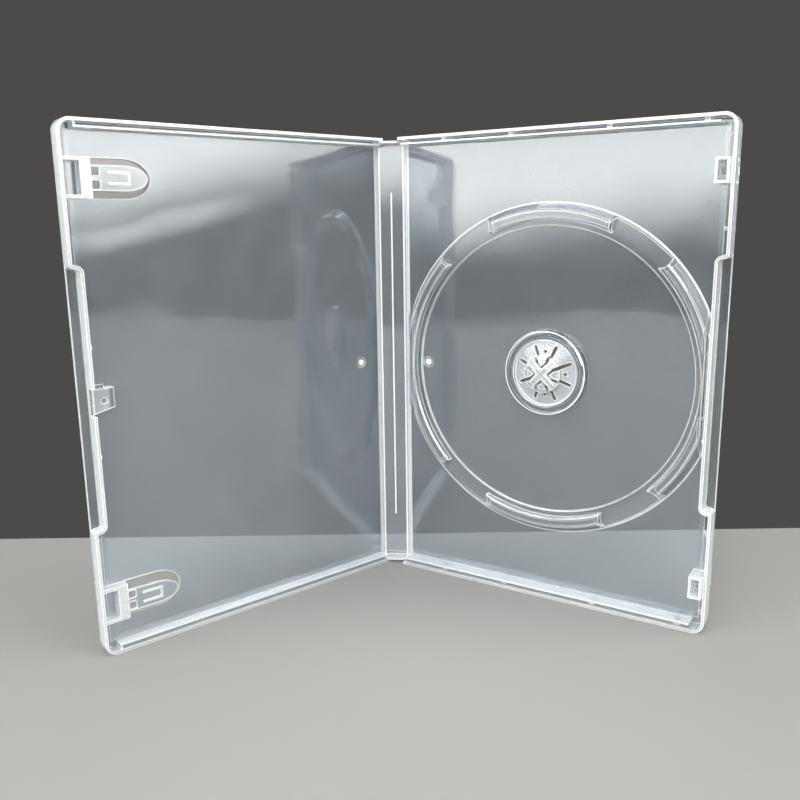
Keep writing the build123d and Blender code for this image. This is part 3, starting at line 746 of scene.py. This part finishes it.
def select_only(piece, kind, wanted):
    """Goes into edit mode with only those vertices or faces selected that a test wants."""
    bpy.ops.object.mode_set(mode="EDIT")
    bpy.ops.mesh.select_mode(type=kind)
    bpy.ops.mesh.select_all(action="DESELECT")
    bpy.ops.object.mode_set(mode="OBJECT")
    items = piece.data.vertices if kind == "VERT" else piece.data.polygons
    for item in items:
        item.select = wanted(item)
    bpy.ops.object.mode_set(mode="EDIT")


def extrude_along(piece, points, direction):
    """Extrudes the vertices that lie level with the first point, from point to point."""
    start = points[0]
    select_only(piece, "VERT", lambda vertex: abs((vertex.co - start).dot(direction)) < SAME_PLACE)
    for here, there in zip(points, points[1:]):
        bpy.ops.mesh.extrude_region_move(TRANSFORM_OT_translate={"value": there - here})
    bpy.ops.mesh.select_all(action="SELECT")
    bpy.ops.mesh.normals_make_consistent(inside=False)
    bpy.ops.object.mode_set(mode="OBJECT")


def thicken(piece, thickness):
    """Gives a sheet its thickness, half of it to each side."""
    skin = piece.modifiers.new("skin", "SOLIDIFY")
    skin.thickness = thickness
    skin.offset = 0
    bpy.ops.object.modifier_apply(modifier="skin")


def settle(piece, matrix):
    """Moves a piece to its place, with that place in its mesh."""
    bpy.ops.object.select_all(action="DESELECT")
    piece.select_set(True)
    bpy.context.view_layer.objects.active = piece
    piece.matrix_world = matrix
    bpy.ops.object.transform_apply(location=True, rotation=True, scale=True)


spine_far = Matrix.Translation(spine_frame.col[0].xyz * -SPINE_WIDTH) @ spine_frame
print("spine runs from", spine_frame.translation, "to", spine_far.translation)

# %% [markdown]
# ## Film sleeve
# A clear film is welded round the outside to hold a printed insert. It is one loose sheet, so its reflections
# ripple. Each half starts as a flat grid in the recess of a panel, gets a slow ripple from a Displace
# modifier that is held off at the edges, and is then extruded step by step round the fold to the middle of
# the spine, where the two halves meet.

# %% Film sleeve
ART_BORDER = 3.4 * MM  # the recess's raised border, at the top and the foot
ART_EDGE = 3.7 * MM  # and at the free edge
FILM_LEVEL = 0.15 * MM  # inward from the outer border face
FILM_THICKNESS = 0.05 * MM
FILM_MARGIN = 0.25 * MM
FILM_HEIGHT = CASE_HEIGHT - 2 * (ART_BORDER + FILM_MARGIN)
FILM_COLUMNS = 54
FILM_ROWS = 72
FILM_COLOUR = (0.95, 0.97, 0.98, 1)
FILM_CLEAR = 0.96
FILM_ROUGHNESS = 0.02
FILM_IOR = 1.46
RIPPLE = 0.10 * MM
RIPPLE_SIZE = 0.045
RIPPLE_HOLD = 12 * MM  # the ripple grows over this width, from none at the edges
SEAM_HALF = 0.01 * MM  # half of the seam between the two halves of the film
SMOOTH_ANGLE = math.radians(40)


def film_paint():
    """Clear glossy film with a hint of haze."""
    settings = {
        "Base Color": FILM_COLOUR,
        "Transmission Weight": FILM_CLEAR,
        "Roughness": FILM_ROUGHNESS,
        "IOR": FILM_IOR,
    }
    return start_paint("clear_film", settings)[0]


def ripple_film(film, width):
    """Bends a flat film in slow waves, less and less towards its edges."""
    loose = film.vertex_groups.new(name="loose")
    for vertex in film.data.vertices:
        from_side = width / 2 - abs(vertex.co.x)
        from_end = FILM_HEIGHT / 2 - abs(vertex.co.y)
        hold = min(from_side, from_end) / RIPPLE_HOLD
        loose.add([vertex.index], max(0.0, min(1.0, hold)), "REPLACE")
    ripple = film.modifiers.new("ripple", "DISPLACE")
    clouds = bpy.data.textures.new(film.name + "_ripple", "CLOUDS")
    clouds.noise_scale = RIPPLE_SIZE
    clouds.noise_depth = 0
    ripple.texture = clouds
    ripple.texture_coords = "LOCAL"
    ripple.strength = RIPPLE
    ripple.vertex_group = "loose"
    bpy.ops.object.modifier_apply(modifier="ripple")


def make_film(name, panel, side, other, other_side):
    """One half of the film: rippled over its panel, bent round the fold and flat over half of the spine."""
    width = PANEL_WIDTH - ART_EDGE - FILM_MARGIN - FOLD_START
    middle = Vector((side * (FOLD_START + width / 2), CASE_HEIGHT / 2, FILM_LEVEL))
    film = add_grid(name, FILM_COLUMNS, FILM_ROWS, width, FILM_HEIGHT)
    ripple_film(film, width)
    settle(film, panel @ Matrix.Translation(middle))
    path = fold_path(panel, side, other, other_side, FILM_LEVEL)
    path.append(path[-1] + other.col[0].xyz * other_side * (SPINE_WIDTH / 2 - FOLD_START - SEAM_HALF))
    extrude_along(film, path, panel.col[0].xyz * side)
    thicken(film, FILM_THICKNESS)
    bpy.ops.object.shade_smooth_by_angle(angle=SMOOTH_ANGLE)
    film.data.materials.append(clear_film)
    print(name, "faces", len(film.data.polygons))
    return film


clear_film = film_paint()
back_film = make_film("film_back", tray_frame, 1, spine_frame, -1)
front_film = make_film("film_front", cover_frame, -1, spine_far, 1)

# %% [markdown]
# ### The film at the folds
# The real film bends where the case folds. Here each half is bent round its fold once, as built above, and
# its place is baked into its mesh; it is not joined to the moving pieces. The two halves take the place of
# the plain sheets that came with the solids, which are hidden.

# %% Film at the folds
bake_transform(back_film)
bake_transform(front_film)
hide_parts("sleeve_back", "sleeve_spine")
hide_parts("sleeve_front")

# %% [markdown]
# ## Film welds
# The film is welded to the border along the foot and along the free edge, and it stays open at the top, where
# the printed insert goes in. The weld is a narrow frosted band. It starts as a plane as large as the film,
# which is inset by the width of the band. Only the faces along the foot and the free edge are kept.

# %% Film welds
WELD_WIDTH = 1.5 * MM
WELD_LEVEL = 0.07 * MM
WELD_THICKNESS = 0.04 * MM
WELD_CUTS = 20
BAND_FROM = 0.4  # a band's face lies past this share of the plane, from its middle
FROSTED = (0.93, 0.95, 0.96, 1)
FROST_DETAIL = 2.0
WELD_CLEAR = 0.94
WELD_GRAIN = 900.0
WELD_ROUGHNESS = (0.08, 0.22)
WELD_BUMP = 0.01 * MM


def make_weld(name, panel, side):
    """The frosted band along the foot and the free edge of a panel's film."""
    near = FOLD_START + FILM_MARGIN
    width = PANEL_WIDTH - ART_EDGE - FILM_MARGIN - near
    bpy.ops.object.select_all(action="DESELECT")
    bpy.ops.mesh.primitive_plane_add(size=1)
    weld = bpy.context.object
    weld.name = name
    weld.scale = (width, FILM_HEIGHT, 1)
    bpy.ops.object.transform_apply(scale=True)
    bpy.ops.object.mode_set(mode="EDIT")
    bpy.ops.mesh.select_all(action="SELECT")
    bpy.ops.mesh.inset(thickness=WELD_WIDTH)
    bpy.ops.object.mode_set(mode="OBJECT")
    foot = -BAND_FROM * FILM_HEIGHT
    edge = BAND_FROM * width
    select_only(weld, "FACE", lambda face: face.center.y > foot and face.center.x * side < edge)
    bpy.ops.mesh.delete(type="FACE")
    bpy.ops.mesh.select_all(action="SELECT")
    bpy.ops.mesh.subdivide(number_cuts=WELD_CUTS)
    bpy.ops.object.mode_set(mode="OBJECT")
    thicken(weld, WELD_THICKNESS)
    middle = Vector((side * (near + width / 2), CASE_HEIGHT / 2, WELD_LEVEL))
    settle(weld, panel @ Matrix.Translation(middle))
    print(name, "faces", len(weld.data.polygons))
    return weld


def frost(tree, shader, scale, roughness, height):
    """A fine grain in a shader's roughness and in its normal."""
    place = tree.nodes.new("ShaderNodeTexCoord").outputs["Object"]
    marks = noise_node(tree, place, scale, FROST_DETAIL)
    tree.links.new(spread(tree, marks, *roughness), shader.inputs["Roughness"])
    tree.links.new(bump_node(tree, marks, height), shader.inputs["Normal"])


def weld_paint():
    """Film that a heated bar has pressed: frosted, in a fine grain."""
    settings = {"Base Color": FROSTED, "IOR": FILM_IOR, "Transmission Weight": WELD_CLEAR}
    paint, tree, shader = start_paint("welded_film", settings)
    frost(tree, shader, WELD_GRAIN, WELD_ROUGHNESS, WELD_BUMP)
    return paint


welded_film = weld_paint()
back_weld = make_weld("film_weld_back", tray_frame, 1)
front_weld = make_weld("film_weld_front", cover_frame, -1)
for weld, body in ((back_weld, "tray"), (front_weld, "cover")):
    weld.data.materials.append(welded_film)
    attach(weld, body)

# %% [markdown]
# ## Fold webs
# Tray, spine and cover are one moulding on the real case, joined by a thin web at each fold. The solids are
# three pieces so that they can turn, so the web is added here: a strip that starts as a plane beside the
# fold, is extruded round it in small steps, and gets its thickness from Solidify.

# %% Fold webs
WEB_LEVEL = 0.255 * MM
WEB_THICKNESS = 0.06 * MM
WEB_MARGIN = 3.6 * MM  # in from the top and the foot
WEB_COLUMNS = 2
WEB_ROWS = 24
WEB_ROUGHNESS = 0.12
WEB_CLEAR = 0.97
WEB_STREAK_CLEAR = 0.90  # in the whitened streaks
STREAK_SCALE = 180.0
STREAK_SPAN = (0.35, 0.65)


def make_web(name, panel, side, other, other_side):
    """A thin strip round one fold."""
    path = fold_path(panel, side, other, other_side, WEB_LEVEL)
    first = path[1] - path[0]
    onward = first.normalized()
    height = CASE_HEIGHT - 2 * WEB_MARGIN
    web = add_grid(name, WEB_COLUMNS, WEB_ROWS, first.length, height)
    turn = Matrix((onward, UP, onward.cross(UP))).transposed().to_4x4()
    middle = (path[0] + path[1]) / 2 + UP * (CASE_HEIGHT / 2)
    settle(web, Matrix.Translation(middle) @ turn)
    extrude_along(web, path[1:], onward)
    thicken(web, WEB_THICKNESS)
    bpy.ops.object.shade_smooth_by_angle(angle=SMOOTH_ANGLE)
    print(name, "faces", len(web.data.polygons))
    return web


def web_paint():
    """The same plastic, whitened in fine streaks where folding has stretched it."""
    settings = {"Base Color": EDGE_TINT, "Roughness": WEB_ROUGHNESS, "IOR": PLASTIC_IOR}
    paint, tree, shader = start_paint("fold_web", settings)
    place = tree.nodes.new("ShaderNodeTexCoord").outputs["Object"]
    streaks = noise_node(tree, place, STREAK_SCALE, MARK_DETAIL)
    clear = ramp_node(tree, streaks, *STREAK_SPAN, WEB_CLEAR, WEB_STREAK_CLEAR)
    tree.links.new(clear, shader.inputs["Transmission Weight"])
    return paint


fold_white = web_paint()
tray_web = make_web("fold_web_tray", tray_frame, 1, spine_frame, -1)
cover_web = make_web("fold_web_cover", cover_frame, -1, spine_far, 1)
for web in (tray_web, cover_web):
    web.data.materials.append(fold_white)
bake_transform(tray_web)
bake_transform(cover_web)

# %% [markdown]
# ## Gate marks
# The plastic entered the mould at one point of each panel, half way up and close to the fold. What is left
# there is a small rough stub in a shallow dimple. It starts as a cylinder, its top is inset and pulled up for
# the torn tip, the tip is sunk in its middle, and the rim is bevelled. One stub is modelled, and the second
# is a copy with its own mesh.

# %% Gate marks
GATE_AT = 11.0 * MM  # from the fold axis
GATE_FLOOR = 1.06 * MM  # inward, the bottom of the dimple and a hair
STUB_SIDES = 40
STUB_RADIUS = 1.35 * MM
STUB_HEIGHT = 0.14 * MM
STUB_TIP = 0.08 * MM
STUB_SMOOTH_ANGLE = math.radians(35)
FACES_UP = 0.9
SHOULDER_INSET = 0.35 * STUB_RADIUS
TIP_INSET = 0.25 * STUB_RADIUS
HOLLOW_INSET = 0.15 * STUB_RADIUS
HOLLOW_DEPTH = 0.5 * STUB_TIP
TEAR_X = 0.05 * MM  # the tip was pulled a little to one side
TEAR_Y = 0.03 * MM
STUB_RIM = 0.03 * MM
STUB_RIM_STEPS = 2
STUB_CLEAR = 0.2
STUB_GRAIN = 2400.0
STUB_ROUGHNESS = (0.25, 0.55)
STUB_BUMP = 0.05 * MM


def make_stub(name):
    """The torn stub of a gate, standing on the origin."""
    bpy.ops.object.select_all(action="DESELECT")
    bpy.ops.mesh.primitive_cylinder_add(
        vertices=STUB_SIDES, radius=STUB_RADIUS, depth=STUB_HEIGHT, location=(0, 0, STUB_HEIGHT / 2)
    )
    stub = bpy.context.object
    stub.name = name
    bpy.ops.object.transform_apply(location=True)
    select_only(stub, "FACE", lambda face: face.normal.z > FACES_UP)
    bpy.ops.mesh.inset(thickness=SHOULDER_INSET)
    bpy.ops.mesh.inset(thickness=TIP_INSET)
    bpy.ops.transform.translate(value=(TEAR_X, TEAR_Y, STUB_TIP))
    bpy.ops.mesh.inset(thickness=HOLLOW_INSET)
    bpy.ops.transform.translate(value=(0, 0, -HOLLOW_DEPTH))
    bpy.ops.object.mode_set(mode="OBJECT")
    rim = stub.modifiers.new("rim", "BEVEL")
    rim.width = STUB_RIM
    rim.segments = STUB_RIM_STEPS
    rim.limit_method = "ANGLE"
    bpy.ops.object.modifier_apply(modifier="rim")
    bpy.ops.object.shade_smooth_by_angle(angle=STUB_SMOOTH_ANGLE)
    return stub


def stub_paint():
    """Rough white plastic, as where a sprue was twisted off."""
    settings = {"Base Color": FROSTED, "IOR": PLASTIC_IOR, "Transmission Weight": STUB_CLEAR}
    paint, tree, shader = start_paint("torn_plastic", settings)
    frost(tree, shader, STUB_GRAIN, STUB_ROUGHNESS, STUB_BUMP)
    return paint


torn_plastic = stub_paint()
tray_stub = make_stub("gate_stub_tray")
tray_stub.data.materials.append(torn_plastic)
cover_stub = tray_stub.copy()
cover_stub.data = tray_stub.data.copy()
cover_stub.name = "gate_stub_cover"
bpy.context.collection.objects.link(cover_stub)
settle(tray_stub, tray_frame @ Matrix.Translation((GATE_AT, HUB_HEIGHT, GATE_FLOOR)))
settle(cover_stub, cover_frame @ Matrix.Translation((-GATE_AT, HUB_HEIGHT, GATE_FLOOR)))
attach(tray_stub, "tray")
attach(cover_stub, "cover")
print("stubs", tray_stub.name, cover_stub.name)
